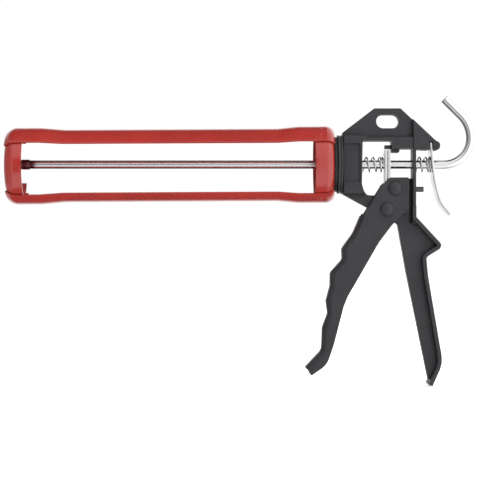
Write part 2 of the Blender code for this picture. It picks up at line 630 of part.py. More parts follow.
def trigger():
    """Channel-section trigger: two cheeks joined by a wavy finger wall."""
    tip = FINGER_EDGE[-1]
    tip_rear = (tip[0] + 4.4 * MM, TRIGGER_DROP, 0.8 * MM)
    back = [tip_rear, (-11.4 * MM, -144.5 * MM, 14 * MM), (-6.3 * MM, -129.5 * MM, 40 * MM),
            (1.6 * MM, -98.5 * MM, 30 * MM), (29.9 * MM, -49.4 * MM, 60 * MM),
            (43.6 * MM, -35.4 * MM, 2.0 * MM), (47.5 * MM, -34.3 * MM, 1.0 * MM),
            (47.5 * MM, -9.5 * MM, 1.0 * MM), (34.0 * MM, -9.6 * MM, 2.0 * MM),
            (28.6 * MM, -14.5 * MM, 2.0 * MM), (16.4 * MM, -34.4 * MM, 0)]
    full = rounded(from_head(FINGER_EDGE + back))
    finger_inner = shifted(FINGER_EDGE, TRIGGER_WALL)
    body_line = [(16.4 * MM, -34.4 * MM, 0)] + finger_inner[1:-1]
    body_end = (tip[0] + 2.5 * MM, TRIGGER_DROP + 2.2 * MM, 0.5 * MM)
    body = rounded(from_head(body_line + [body_end] + back[:-1]))
    thing = prism("trigger", body, -CHEEK_OUTSIDE, CHEEK_OUTSIDE, BLACK_COAT, CAST_EDGE)
    wall_half = CHEEK_OUTSIDE - TRIGGER_STEP
    channel_end = TRIGGER_DROP + 12.0 * MM
    wall_inner = shifted(FINGER_EDGE, TRIGGER_WALL + 1.0 * MM)
    wall = rounded(from_head(FINGER_EDGE), False) + rounded(from_head(wall_inner), False)[::-1]
    front_points = len(wall) // 2
    join(thing, prism("finger_wall", wall, -wall_half, wall_half, edge=FINGER_EDGE_CUT,
                      first=front_points))

    wide = 60.0 * MM
    cavity_line = shifted(FINGER_EDGE, TRIGGER_WALL)[:-1]
    cavity = rounded(from_head([(cavity_line[0][0] - 12 * MM, 0, 0)]
                               + [(cavity_line[0][0] - 12 * MM, cavity_line[0][1], 0)]
                               + [cavity_line[0]] + cavity_line[1:-1]
                               + [(-10.5 * MM, channel_end, 1.0 * MM), (wide, channel_end, 0),
                                  (wide, 0, 0)]))
    cut(thing, prism("trigger_channel", cavity, -CHEEK_INSIDE, CHEEK_INSIDE))
    step = rounded(from_head([(44.4 * MM, -34.0 * MM, 0.6 * MM), (wide, -34.0 * MM, 0),
                              (wide, 0, 0), (20.0 * MM, 0, 0), (20.0 * MM, -12.6 * MM, 0),
                              (44.4 * MM, -12.6 * MM, 1.5 * MM)]))
    step_depth = 0.8 * MM
    cut(thing, prism("near_step", step, -wide, -CHEEK_OUTSIDE + step_depth))
    cut(thing, prism("far_step", step, CHEEK_OUTSIDE - step_depth, wide))
    for name, place, radius in (("pivot_hole", PIVOT, PIVOT_PIN_RADIUS),
                                ("thrust_hole", THRUST, THRUST_PIN_RADIUS)):
        cut(thing, across(rod_shape(name, radius + PIN_HOLE, -wide, wide),
                          HEAD_FRONT + place[0], place[1]))
    return thing


def headed_pin(name, place, radius):
    """A pin across the trigger with a low domed head at each end."""
    inner = CHEEK_OUTSIDE + GAP
    outer = inner + PIN_HEAD
    rim = 0.3 * MM
    dome = [(inner, radius), (inner, PIN_HEAD_RADIUS)]
    for degrees in (0, 25, 50, 72, 90):
        angle = math.radians(degrees)
        dome.append((inner + rim + (PIN_HEAD - rim) * math.sin(angle),
                     PIN_HEAD_RADIUS * math.cos(angle)))
    dome[-1] = (outer, 0)
    near = [(-x, r) for x, r in dome[::-1]]
    pin = turned(name, near + dome, BLACK_COAT, steps=20)
    return across(pin, HEAD_FRONT + place[0], place[1])


def build_trigger():
    axis = empty("trigger_axis", (HEAD_FRONT + PIVOT[0], 0, PIVOT[1]))
    carry(axis, trigger(), headed_pin("trigger_pivot_pin", PIVOT, PIVOT_PIN_RADIUS),
          headed_pin("thrust_pin", THRUST, THRUST_PIN_RADIUS))


# ---------------------------------------------------------------- drive and release

def coil(name, start, end, turns, lean=0.0):
    """A compression spring round the rod, whose closed end can lean with the lever."""
    per_turn = 12
    open_turns, closed_turns = turns
    whole = open_turns + closed_turns
    closed_pitch = 2 * SPRING_WIRE + GAP
    open_pitch = (end - start - 2 * SPRING_WIRE - closed_turns * closed_pitch) / open_turns
    count = round(whole * per_turn)
    points = []
    for index in range(count + 1):
        turn = whole * index / count
        angle = math.pi + 2 * math.pi * turn
        z = SPRING_RADIUS * math.cos(angle)
        along = min(turn, open_turns) * open_pitch + max(0, turn - open_turns) * closed_pitch
        x = start + SPRING_WIRE + along - lean * z * turn / whole
        points.append((x, -SPRING_RADIUS * math.sin(angle), z))
    return wire(name, points, SPRING_WIRE, ZINC_PLATE, 1)


def drive_plate(name, front):
    rear = front + DRIVE_PLATE
    outline = [(front, DRIVE_BOTTOM), (rear, DRIVE_BOTTOM), (rear, DRIVE_TOP), (front, DRIVE_TOP)]
    plate = prism(name, outline, -DRIVE_HALF_WIDTH, DRIVE_HALF_WIDTH, ZINC_PLATE, 0.25 * MM)
    cut(plate, rod_shape(name + "_hole", PLATE_HOLE, front - 5 * MM, front + 10 * MM))
    return plate


def build_drive():
    axis = empty("drive_axis", (HEAD_FRONT + DRIVE_FRONT, 0, 0))
    carry(axis, drive_plate("drive_plate_front", HEAD_FRONT + DRIVE_FRONT),
          drive_plate("drive_plate_rear", HEAD_FRONT + DRIVE_FRONT + DRIVE_PLATE + GAP))
    coil("main_spring", HEAD_FRONT + HUB_LENGTH + GAP, HEAD_FRONT + DRIVE_FRONT - GAP, MAIN_TURNS)


LEVER_LINE = [(LEVER_PIVOT[0] - 0.05 * MM, LEVER_PIVOT[1] + 0.7 * MM, 0),
              (65.9 * MM, -11.0 * MM, 40 * MM), (70.2 * MM, -27.6 * MM, 20 * MM),
              (77.7 * MM, -36.4 * MM, 0)]


def build_release():
    axis = empty("lever_axis", (HEAD_FRONT + LEVER_PIVOT[0], 0, LEVER_PIVOT[1]))
    half = LEVER_SHEET / 2
    front = rounded(from_head(shifted(LEVER_LINE, -half)), False, math.radians(6))
    rear = rounded(from_head(shifted(LEVER_LINE, half)), False, math.radians(6))
    lever = prism("release_lever", front + rear[::-1], -LEVER_HALF_WIDTH, LEVER_HALF_WIDTH,
                  ZINC_PLATE, 0.3 * MM)
    hole = rod_shape("lever_hole", PLATE_HOLE, HEAD_FRONT + LEVER_PIVOT[0] - 10 * MM,
                     HEAD_FRONT + LEVER_PIVOT[0] + 12 * MM)
    cut(lever, hole)
    carry(axis, lever)
    top, bend = LEVER_LINE[0], LEVER_LINE[1]
    lean = (bend[0] - top[0]) / (top[1] - bend[1])
    lever_at_rod = top[0] + lean * top[1]
    coil("release_spring", HEAD_FRONT + POST_BACK + GAP,
         HEAD_FRONT + lever_at_rod - half - GAP, RELEASE_TURNS, lean)


def main():
    for thing in list(bpy.data.objects):
        bpy.data.objects.remove(thing, do_unlink=True)
    build_cradle()
    build_rod()
    build_swivel()
    handle_casting()
    stop_pin()
    build_trigger()
    build_drive()
    build_release()


main()
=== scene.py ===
"""Caulking gun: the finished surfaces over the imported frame, laid out as an add-on."""
import json
import math

import bmesh
import bpy
from bpy.props import FloatProperty, FloatVectorProperty, PointerProperty
from mathutils import Matrix, Vector


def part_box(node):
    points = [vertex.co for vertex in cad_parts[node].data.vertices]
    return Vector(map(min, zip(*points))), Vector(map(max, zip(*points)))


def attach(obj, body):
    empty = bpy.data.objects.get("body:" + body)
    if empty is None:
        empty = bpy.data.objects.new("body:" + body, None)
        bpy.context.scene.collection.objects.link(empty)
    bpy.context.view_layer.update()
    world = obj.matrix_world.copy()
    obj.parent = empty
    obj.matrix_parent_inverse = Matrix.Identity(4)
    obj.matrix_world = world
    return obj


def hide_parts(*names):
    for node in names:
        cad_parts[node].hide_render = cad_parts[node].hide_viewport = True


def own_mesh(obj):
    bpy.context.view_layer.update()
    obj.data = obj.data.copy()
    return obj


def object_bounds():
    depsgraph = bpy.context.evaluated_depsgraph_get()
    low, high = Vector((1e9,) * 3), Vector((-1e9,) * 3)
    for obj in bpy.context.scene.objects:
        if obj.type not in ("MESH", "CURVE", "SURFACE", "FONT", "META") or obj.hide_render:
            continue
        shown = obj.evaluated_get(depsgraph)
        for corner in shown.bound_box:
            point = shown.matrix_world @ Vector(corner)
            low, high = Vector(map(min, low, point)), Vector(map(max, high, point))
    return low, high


bl_info = {
    "name": "Caulking Gun",
    "version": (1, 0, 0),
    "blender": (4, 5, 0),
    "location": "3D View > Sidebar > Caulking Gun",
    "description": "Finished pieces and materials of a caulking gun with a swivelling cradle",
    "category": "Object",
}

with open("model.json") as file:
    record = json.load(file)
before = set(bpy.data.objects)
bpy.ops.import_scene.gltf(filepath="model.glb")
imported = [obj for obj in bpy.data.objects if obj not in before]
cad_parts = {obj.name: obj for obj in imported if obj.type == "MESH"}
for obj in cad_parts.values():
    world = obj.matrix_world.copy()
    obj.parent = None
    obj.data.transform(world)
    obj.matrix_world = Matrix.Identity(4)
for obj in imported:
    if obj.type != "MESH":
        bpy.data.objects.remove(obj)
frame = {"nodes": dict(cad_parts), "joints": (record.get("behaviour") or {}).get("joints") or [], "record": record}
CAD_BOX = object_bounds()

MM = 0.001
JOINTS = {joint["name"]: joint for joint in frame["joints"]}
BODY_OF = {node: body for body, nodes in frame["record"]["behaviour"]["bodies"].items()
           for node in nodes}
SLOT_OF = {part["node"]: part["material_slot"] for part in frame["record"]["subparts"]}
SWIVEL = Vector(JOINTS["cradle_swivel"]["pos_m"])
SWIVEL_AXIS = Vector(JOINTS["cradle_swivel"]["axis"])
NEAR_SIDE = math.radians(90)    # turn about the rod's axis from straight up
FULL_TURN = 2 * math.pi
MERGED = 0.002 * MM             # points closer than this are made one
SCRIBED = 0.001 * MM            # points closer than this to a cut lie on it

# Sharpest fold, in degrees, that a bevel leaves alone.
CAST_FOLD = 28
NUT_FOLD = 35
SHEARED_FOLD = 40
PRESSED_FOLD = 50

# The stage's surround, in parts of a unit direction: x right, y behind the gun.
# Each pair is where a shape starts to fade and where the fade ends.
FLAG_TILT = (0.375, 0.927)      # shares of y and of height in a flag's direction
FLAG_RIM = (0.74, 0.84)
FLAG_RIGHT = (0.06, 0.16)
FLAG_RIGHT_SHARE = 0.4          # how black the flags stay past their right end
CARD_MIDDLE = -0.17
CARD_SIDE = (0.14, 0.22)
CARD_END = (0.34, 0.44)
CARD_FRONT = (-0.3, 0)
RIGHT_SIDE = (0.05, 0.4)
LEFT_SIDE = (-0.7, -0.4)


def ends(node):
    """Where a node starts and ends along the rod."""
    low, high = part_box(node)
    return low.x, high.x


def half_width(node):
    """How far a node reaches to the side of the rod's axis."""
    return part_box(node)[1].y


# ---------------------------------------------------------------- what a user can change

def length(label, about, default):
    return FloatProperty(name=label, description=about, default=default, min=0,
                         unit="LENGTH", subtype="DISTANCE", precision=5)


def turn(label, about, degrees):
    return FloatProperty(name=label, description=about, default=math.radians(degrees),
                         unit="ROTATION", subtype="ANGLE")


def colour(label, about, default):
    return FloatVectorProperty(name=label, description=about, default=default, size=3,
                               min=0, max=1, subtype="COLOR")


class CradleSizes(bpy.types.PropertyGroup):
    """Sizes of the pressed cups and the rails between them."""

    sheet: length("Sheet", "Thickness of the pressed steel", 1.2 * MM)
    gap: length("Lap gap", "Space between a rail and the cup under it", 0.3 * MM)
    cup_radius: length("Cup radius", "Outside of the cups' bands", 26.2 * MM)
    cradle_length: length("Length", "Between the outer faces of the two cups", 235.8 * MM)
    front_depth: length("Front cup depth", "Plate to mouth", 13.2 * MM)
    far_depth: length("Far band depth", "Front cup's depth beside the band's gap", 11.1 * MM)
    rear_depth: length("Rear cup depth", "Plate to mouth", 13.5 * MM)
    front_corner: length("Front corner", "Outside bend of the rails' front ends", 9.5 * MM)
    rear_corner: length("Rear corner", "Outside bend of the rails' rear ends", 7.0 * MM)
    nozzle: length("Nozzle hole", "Radius of the hole and half the slot", 10.5 * MM)
    band_opening: length("Band opening", "Gap in the front band", 30.4 * MM)
    band_relief: length("Band relief", "Height of the shallower band", 44.0 * MM)
    swivel_hole: length("Swivel hole", "Radius of the hole in the rear cup", 8.3 * MM)
    window: turn("Window", "Angle between the rails on the near side", 88)
    rail_width: turn("Rail width", "Width of a rail round the cradle", 46)
    rail_wrap: turn("Rail wrap", "How far a rail's end follows the cup's bend", 58)
    front_lap: length("Front lap", "Raised part of the rail over the front cup", 25.0 * MM)
    rear_lap: length("Rear lap", "Raised part of the rail over the rear cup", 25.5 * MM)
    front_joggle: length("Front joggle", "Step down from the front lap", 17.0 * MM)
    rear_joggle: length("Rear joggle", "Step down from the rear lap", 14.5 * MM)
    standing_turn: turn("Standing turn", "How far the cradle stands turned at rest", 8)
    weld_radius: length("Weld radius", "Radius of a spot weld's dimple", 1.9 * MM)
    weld_depth: length("Weld depth", "Depth of a spot weld's dimple", 0.2 * MM)
    pressed_edge: length("Pressed edge", "Rounding of the sheet's edges", 0.35 * MM)


class RodSizes(bpy.types.PropertyGroup):
    """Sizes of the push rod, its plate and its hook."""

    radius: length("Rod radius", "Radius of the drawn rod", 3.0 * MM)
    bend_start: length("Bend start", "Where the hook's bend starts along the rod", 311.4 * MM)
    hook_radius: length("Hook radius", "Centre line of the first bend", 19.0 * MM)
    hook_top_radius: length("Hook top radius", "Centre line of the second bend", 23.2 * MM)
    hook_tip: length("Hook tip", "Straight end of the hook", 17.2 * MM)
    plate_sheet: length("Plate thickness", "Thickness of the push plate", 2.2 * MM)
    boss_radius: length("Boss radius", "Radius of the push plate's boss", 6.0 * MM)
    tint_length: length("Tinted length", "Rod darkened by welding beside the plate", 15.5 * MM)


class HeadSizes(bpy.types.PropertyGroup):
    """Sizes in the handle casting, the trigger and the two springs."""

    edge: length("Cast edge", "Rounding of the castings' edges", 0.35 * MM)
    sheared_edge: length("Sheared edge", "Rounding of the plates' edges", 0.25 * MM)
    wire: length("Wire radius", "Radius of the springs' wire", 0.6 * MM)
    coil_radius: length("Coil radius", "Centre line of the springs' coils", 5.3 * MM)
    open_main: FloatProperty(name="Main coils", description="Open coils", default=2.6)
    open_release: FloatProperty(name="Release coils", description="Open coils", default=1.9)
    pin_radius: length("Pin head radius", "Radius of the trigger pins' heads", 4.8 * MM)
    pin_height: length("Pin head height", "Height of the trigger pins' heads", 2.3 * MM)


class Finishes(bpy.types.PropertyGroup):
    """Colours of the gun's finishes."""

    paint: colour("Red paint", "Cups and rails", (0.260, 0.0180, 0.0135))
    coat: colour("Black coat", "Castings", (0.0165, 0.0160, 0.0195))
    chrome: colour("Chrome", "Push rod", (0.83, 0.815, 0.825))
    chrome_edge: colour("Chrome edge", "Chrome seen along its surface", (0.30, 0.29, 0.30))
    weld_tint: colour("Weld tint", "Rod's end beside the push plate", (0.16, 0.055, 0.065))
    zinc: colour("Zinc plate", "Plates, lever and springs", (0.80, 0.81, 0.84))
    steel: colour("Plain steel", "Stop pin", (0.12, 0.12, 0.115))
    nylon: colour("Nylon", "Friction washer", (0.012, 0.012, 0.013))


class StageSizes(bpy.types.PropertyGroup):
    """Floor, light and camera round the gun."""

    floor: length("Floor size", "Side of the square floor", 60.0)
    distance: length("Camera distance", "From the camera to the rod's axis", 1.2)
    view_width: length("View width", "Width of the view at the rod's axis", 0.3476)
    view_along: length("View along", "Camera's place along the rod", 0.1637)
    view_drop: length("View drop", "Camera's height below the rod's axis", 0.0546)
    tent: FloatProperty(name="Tent", description="Brightness of the white tent", default=1.0)
    flag: FloatProperty(name="Flags", description="Brightness of the black flags", default=0.05)
    right: FloatProperty(name="Right side", description="Brightness on the right", default=1.4)
    left: FloatProperty(name="Left side", description="Brightness on the left", default=0.35)


class GunSettings(bpy.types.PropertyGroup):
    """All sizes and colours of the gun and its stage."""

    cradle: PointerProperty(type=CradleSizes)
    rod: PointerProperty(type=RodSizes)
    head: PointerProperty(type=HeadSizes)
    finishes: PointerProperty(type=Finishes)
    stage: PointerProperty(type=StageSizes)


def settings():
    return bpy.context.scene.caulking_gun


# ---------------------------------------------------------------- finishes

def wire_up(tree, value, socket):
    """Links a node's first output, or an output, to a socket, or sets a plain value."""
    if isinstance(value, bpy.types.Node):
        tree.links.new(value.outputs[0], socket)
    elif isinstance(value, bpy.types.NodeSocket):
        tree.links.new(value, socket)
    else:
        socket.default_value = value


def arithmetic(tree, operation, *values):
    """A maths node over nodes and plain numbers."""
    step = tree.nodes.new("ShaderNodeMath")
    step.operation = operation
    for socket, value in zip(step.inputs, values):
        wire_up(tree, value, socket)
    return step


def place_on(tree, stretch=(1, 1, 1)):
    """Coordinates fixed to the piece, in metres, stretched along the axes."""
    mapping = tree.nodes.new("ShaderNodeMapping")
    mapping.inputs["Scale"].default_value = stretch
    coordinates = tree.nodes.new("ShaderNodeTexCoord")
    tree.links.new(coordinates.outputs["Object"], mapping.inputs["Vector"])
    return mapping


def grain(tree, size, detail=2.0, stretch=(1, 1, 1)):
    """Soft noise whose grains are about the given size."""
    noise = tree.nodes.new("ShaderNodeTexNoise")
    noise.inputs["Scale"].default_value = 1 / size
    noise.inputs["Detail"].default_value = detail
    wire_up(tree, place_on(tree, stretch), noise.inputs["Vector"])
    return noise


def spread(tree, source, low, high, to_low, to_high):
    """Maps a range of a texture to a range of values."""
    mapped = tree.nodes.new("ShaderNodeMapRange")
    mapped.inputs["From Min"].default_value = low
    mapped.inputs["From Max"].default_value = high
    mapped.inputs["To Min"].default_value = to_low
    mapped.inputs["To Max"].default_value = to_high
    wire_up(tree, source, mapped.inputs["Value"])
    return mapped


def varied(tree, noise, to_low, to_high):
    """Spreads the middle of a soft noise over a range of values."""
    return spread(tree, noise, 0.3, 0.7, to_low, to_high)


def mixed(tree, factor, first, second):
    """Mixes two colours, each a plain colour or a node."""
    mix = tree.nodes.new("ShaderNodeMix")
    mix.data_type = "RGBA"
    wire_up(tree, factor, mix.inputs["Factor"])
    for name, shade in (("A", first), ("B", second)):
        socket = next(s for s in mix.inputs if s.name == name and s.type == "RGBA")
        if isinstance(shade, bpy.types.Node):
            output = next(s for s in shade.outputs if s.type == "RGBA")
            tree.links.new(output, socket)
        else:
            socket.default_value = (*shade, 1)
    return mix


def colour_into(tree, mix, socket):
    """Links a mixed colour to a socket."""
    output = next(s for s in mix.outputs if s.type == "RGBA")
    tree.links.new(output, socket)


def relief(tree, height, depth, under=None):
    """Bump of a given depth in metres, over another bump if there is one."""
    bump = tree.nodes.new("ShaderNodeBump")
    bump.inputs["Strength"].default_value = 1.0
    bump.inputs["Distance"].default_value = depth
    tree.links.new(height.outputs[0], bump.inputs["Height"])
    if under:
        tree.links.new(under.outputs["Normal"], bump.inputs["Normal"])
    return bump


def nearness(tree, reach, inside, low, high):
    """How close this piece's own walls are: outwards in corners, inwards at edges."""
    shade = tree.nodes.new("ShaderNodeAmbientOcclusion")
    shade.only_local = True
    shade.inside = inside
    shade.samples = 8
    shade.inputs["Distance"].default_value = reach
    mapped = tree.nodes.new("ShaderNodeMapRange")
    mapped.inputs["From Min"].default_value = high
    mapped.inputs["From Max"].default_value = low
    tree.links.new(shade.outputs["AO"], mapped.inputs["Value"])
    return mapped


def worn_edges(tree):
    """Zero on flats, one on sharp outer edges."""
    return nearness(tree, 0.8 * MM, True, 0.35, 0.8)


def painted_corner_shade(tree, reach):
    """Painted shade mask: zero on open surfaces, one deep in this piece's own corners."""
    return nearness(tree, reach, False, 0.15, 0.75)


def scaled(shade, factor):
    """A colour made darker or lighter."""
    return tuple(min(1.0, part * factor) for part in shade)


def blank_finish(name, metallic):
    """A new material with its node tree and its shader."""
    finish = bpy.data.materials.new(name)
    finish.use_nodes = True
    shader = finish.node_tree.nodes["Principled BSDF"]
    shader.inputs["Metallic"].default_value = metallic
    return finish, finish.node_tree, shader


def red_paint():
    """Glossy stoved enamel over pressed steel, with orange peel and painted shade in its own corners."""
    finish, tree, shader = blank_finish("red_enamel", 0.0)
    red = settings().finishes.paint
    cloud = spread(tree, grain(tree, 30 * MM), 0.35, 0.65, 0, 1)
    body = mixed(tree, cloud, scaled(red, 0.93), scaled(red, 1.06))
    # Painted shade: the red goes much darker deep in this piece's own corners.
    corner = mixed(tree, painted_corner_shade(tree, 3 * MM), body, scaled(red, 0.35))
    colour_into(tree, corner, shader.inputs["Base Color"])
    rough = varied(tree, grain(tree, 9 * MM, 4), 0.18, 0.26)
    wire_up(tree, rough, shader.inputs["Roughness"])
    peel = relief(tree, grain(tree, 1.6 * MM), 0.005 * MM)
    tree.links.new(peel.outputs["Normal"], shader.inputs["Normal"])
    shader.inputs["Coat Weight"].default_value = 0.6
    shader.inputs["Coat Roughness"].default_value = 0.1
    return finish


def black_coat():
    """Fine-textured black powder coat on die castings, thinner on the edges, with painted shade in its own
    corners.
    """
    finish, tree, shader = blank_finish("black_powder_coat", 0.0)
    black = settings().finishes.coat
    cloud = varied(tree, grain(tree, 12 * MM, 3), 0, 1)
    body = mixed(tree, cloud, scaled(black, 0.85), scaled(black, 1.15))
    rubbed = mixed(tree, worn_edges(tree), body, scaled(black, 1.7))
    # Painted shade: the black goes much darker deep in this piece's own corners.
    corner = mixed(tree, painted_corner_shade(tree, 4 * MM), rubbed, scaled(black, 0.15))
    colour_into(tree, corner, shader.inputs["Base Color"])
    rough = varied(tree, grain(tree, 5 * MM, 4), 0.42, 0.54)
    wire_up(tree, rough, shader.inputs["Roughness"])
    texture = relief(tree, grain(tree, 0.55 * MM, 3), 0.03 * MM)
    waves = relief(tree, grain(tree, 2.5 * MM), 0.03 * MM, texture)
    tree.links.new(waves.outputs["Normal"], shader.inputs["Normal"])
    return finish


def chrome():
    """Bright chrome over drawn steel, with faint lines along the rod."""
    finish, tree, shader = blank_finish("bright_chrome", 1.0)
    shades = settings().finishes
    along = tree.nodes.new("ShaderNodeSeparateXYZ")
    wire_up(tree, place_on(tree), along.inputs["Vector"])
    reach = settings().rod.tint_length
    tint = spread(tree, along, reach * 0.9, reach * 1.1, 1, 0)
    colour_into(tree, mixed(tree, tint, shades.chrome, shades.weld_tint),
                shader.inputs["Base Color"])
    lines = grain(tree, 0.5 * MM, 3, (0.02, 1, 1))
    wire_up(tree, varied(tree, lines, 0.24, 0.32), shader.inputs["Roughness"])
    tree.links.new(relief(tree, lines, 0.002 * MM).outputs["Normal"], shader.inputs["Normal"])
    shader.inputs["Specular Tint"].default_value = (*shades.chrome_edge, 1)
    return finish


def weld_dark():
    """Chrome darkened red-brown by the heat of the weld."""
    finish, tree, shader = blank_finish("weld_darkened_steel", 1.0)
    tint = settings().finishes.weld_tint
    cloud = varied(tree, grain(tree, 2 * MM, 4), 0, 1)
    colour_into(tree, mixed(tree, cloud, scaled(tint, 0.7), scaled(tint, 1.4)),
                shader.inputs["Base Color"])
    wire_up(tree, varied(tree, grain(tree, 1 * MM, 4), 0.2, 0.4), shader.inputs["Roughness"])
    return finish


def zinc_plate():
    """Bright zinc plate with a faint bluish and straw mottling."""
    finish, tree, shader = blank_finish("bright_zinc", 1.0)
    zinc = settings().finishes.zinc
    cloud = varied(tree, grain(tree, 6 * MM, 4), 0, 1)
    straw = (zinc[0], zinc[1] * 0.97, zinc[2] * 0.90)
    colour_into(tree, mixed(tree, cloud, zinc, straw), shader.inputs["Base Color"])
    wire_up(tree, varied(tree, grain(tree, 3 * MM, 5), 0.2, 0.36), shader.inputs["Roughness"])
    crystals = relief(tree, grain(tree, 0.4 * MM, 3), 0.006 * MM)
    tree.links.new(crystals.outputs["Normal"], shader.inputs["Normal"])
    return finish


def plain_steel():
    """Dark, dry steel of the stop pin, with turning marks across it."""
    finish, tree, shader = blank_finish("plain_dark_steel", 1.0)
    steel = settings().finishes.steel
    rings = grain(tree, 0.5 * MM, 2, (1, 0.05, 0.05))
    colour_into(tree, mixed(tree, rings, scaled(steel, 0.7), scaled(steel, 1.3)),
                shader.inputs["Base Color"])
    wire_up(tree, varied(tree, rings, 0.3, 0.45), shader.inputs["Roughness"])
    return finish


def nylon():
    """Matt black nylon with a faint cloudy tone."""
    finish, tree, shader = blank_finish("black_nylon", 0.0)
    black = settings().finishes.nylon
    cloud = grain(tree, 2 * MM, 4)
    colour_into(tree, mixed(tree, cloud, scaled(black, 0.8), scaled(black, 1.3)),
                shader.inputs["Base Color"])
    wire_up(tree, varied(tree, cloud, 0.5, 0.65), shader.inputs["Roughness"])
    return finish


FINISH_MAKERS = {"red_paint": red_paint, "black_coat": black_coat, "chrome": chrome,
                 "zinc_plate": zinc_plate, "dark_steel": plain_steel, "nylon": nylon,
                 "weld_dark": weld_dark}


def finish_for(kind):
    """The material of a kind, made the first time that it is asked for."""
    known = bpy.context.scene.get("finish_names", {})
    if kind not in known:
        names = dict(known)
        names[kind] = FINISH_MAKERS[kind]().name
        bpy.context.scene["finish_names"] = names
        known = names
    return bpy.data.materials[known[kind]]


# ---------------------------------------------------------------- shapes

def bent(corners, step=math.radians(6)):
    """Points along a line of (x, height, radius) corners, with arcs at the corners."""
    points = []
    for index, (x, height, radius) in enumerate(corners):
        here = Vector((x, height))
        if radius <= 0 or index in (0, len(corners) - 1):
            points.append(here)
            continue
        before = (Vector(corners[index - 1][:2]) - here).normalized()
        after = (Vector(corners[index + 1][:2]) - here).normalized()
        opening = before.angle(after)
        arc = math.pi - opening
        centre = here + (before + after).normalized() * (radius / math.sin(opening / 2))
        arm = here + before * (radius / math.tan(opening / 2)) - centre
        side = 1 if before.cross(after) < 0 else -1
        parts = max(2, math.ceil(arc / step))
        for part in range(parts + 1):
            points.append(centre + Matrix.Rotation(side * arc * part / parts, 2) @ arm)
    return points


def divided(points, spacing):
    """The same line with its long stretches cut into equal parts."""
    result = [points[0]]
    for start, end in zip(points, points[1:]):
        parts = max(1, round((end - start).length / spacing))
        for part in range(1, parts + 1):
            result.append(start.lerp(end, part / parts))
    return result


def turned(profile, steps, start=0.0, sweep=FULL_TURN, closed=False):
    """A line of (x, radius) points turned about the rod's axis."""
    work = bmesh.new()
    line = [work.verts.new((point[0], 0, point[1])) for point in profile]
    pairs = list(zip(line, line[1:])) + ([(line[-1], line[0])] if closed else [])
    edges = [work.edges.new(pair) for pair in pairs]
    bmesh.ops.rotate(work, verts=work.verts, cent=(0, 0, 0),
                     matrix=Matrix.Rotation(start, 3, "X"))
    bmesh.ops.spin(work, geom=line + edges, cent=(0, 0, 0), axis=(1, 0, 0), angle=sweep,
                   steps=steps, use_merge=sweep == FULL_TURN)
    bmesh.ops.remove_doubles(work, verts=work.verts, dist=MERGED)
    bmesh.ops.recalc_face_normals(work, faces=work.faces)
    return work


def swept(work, section, **spin):
    """Carries an end face on with a spin, and returns the new end face."""
    geom = list({vert for face in section for vert in face.verts})
    geom += list({edge for face in section for edge in face.edges}) + section
    last = bmesh.ops.spin(work, geom=geom, **spin)["geom_last"]
    return [item for item in last if isinstance(item, bmesh.types.BMFace)]


def round_edged(profile, edge):
    """A closed run of (x, radius) corners with every corner rounded alike."""
    around = [profile[-1]] + list(profile) + [profile[0]]
    corners = [(x, height, edge) for x, height in around]
    return bent(corners, math.radians(30))[1:-1]


def washer(low, high, bore, radius, edge, steps=96):
    """A flat ring about the rod's axis."""
    profile = round_edged([(low, bore), (low, radius), (high, radius), (high, bore)], edge)
    return turned(profile, steps, closed=True)


def piece(name, work, node, finish=None, smooth=35):
    """Makes a mesh the visible piece for a node, riding on the node's body."""
    mesh = bpy.data.meshes.new(name)
    work.to_mesh(mesh)
    work.free()
    mesh.shade_smooth()
    if smooth:
        mesh.set_sharp_from_angle(angle=math.radians(smooth))
    thing = bpy.data.objects.new(name, mesh)
    bpy.context.scene.collection.objects.link(thing)
    mesh.materials.append(finish_for(finish or SLOT_OF[node]))
    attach(thing, BODY_OF[node])
    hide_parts(node)
    return thing


def rounded_edges(thing, width, fold):
    """Adds a bevel to a piece's edges that fold more sharply than an angle."""
    bevel = thing.modifiers.new("edges", "BEVEL")
    bevel.width = width
    bevel.segments = 3
    bevel.limit_method = "ANGLE"
    bevel.angle_limit = math.radians(fold)
    bevel.use_clamp_overlap = True
    even = thing.modifiers.new("even_shading", "WEIGHTED_NORMAL")
    even.keep_sharp = True
    return thing


def pressed(thing):
    """Gives a sheet its thickness, inwards from the drawn face, and rounds its edges."""
    sizes = settings().cradle
    wall = thing.modifiers.new("sheet", "SOLIDIFY")
    wall.thickness = sizes.sheet
    wall.offset = -1
    wall.use_even_offset = True
    return rounded_edges(thing, sizes.pressed_edge, PRESSED_FOLD)


def cleaned_copy(node):
    """A node's shape with its triangles joined back into flat faces."""
    work = bmesh.new()
    work.from_mesh(frame["nodes"][node].data)
    bmesh.ops.remove_doubles(work, verts=work.verts, dist=MERGED)
    bmesh.ops.dissolve_limit(work, angle_limit=math.radians(0.6), verts=work.verts,
                             edges=work.edges, use_dissolve_boundaries=False, delimit=set())
    return work


def build_flat_faced(node, name, edge, fold):
    """A node's own shape with its sharp edges rounded."""
    thing = piece(name, cleaned_copy(node), node, smooth=None)
    return rounded_edges(thing, edge, fold)


# ---------------------------------------------------------------- cradle

def stand_cradle(work):
    """Turns the upright cradle about the swivel to where it stands at rest."""
    sag = Vector((1, 0, 0)).rotation_difference(SWIVEL_AXIS).to_matrix()
    turned_about = sag @ Matrix.Rotation(settings().cradle.standing_turn, 3, "X")
    bmesh.ops.rotate(work, verts=work.verts, cent=SWIVEL, matrix=turned_about)


def cup_line(plate, mouth, hole, corner):
    """Outer side of a cup: from the hole across the plate and along the band."""
    sizes = settings().cradle
    bend = corner - sizes.sheet - sizes.gap
    return divided(bent([(plate, hole, 0), (plate, sizes.cup_radius, bend),
                         (mouth, sizes.cup_radius, 0)]), 2.5 * MM)


def outward(work):
    """Points an open shell's faces away from the cradle's inside."""
    bmesh.ops.recalc_face_normals(work, faces=work.faces)
    far = max(work.faces, key=lambda face: face.calc_center_median().yz.length)
    if far.normal.yz.dot(far.calc_center_median().yz) < 0:
        bmesh.ops.reverse_faces(work, faces=work.faces)


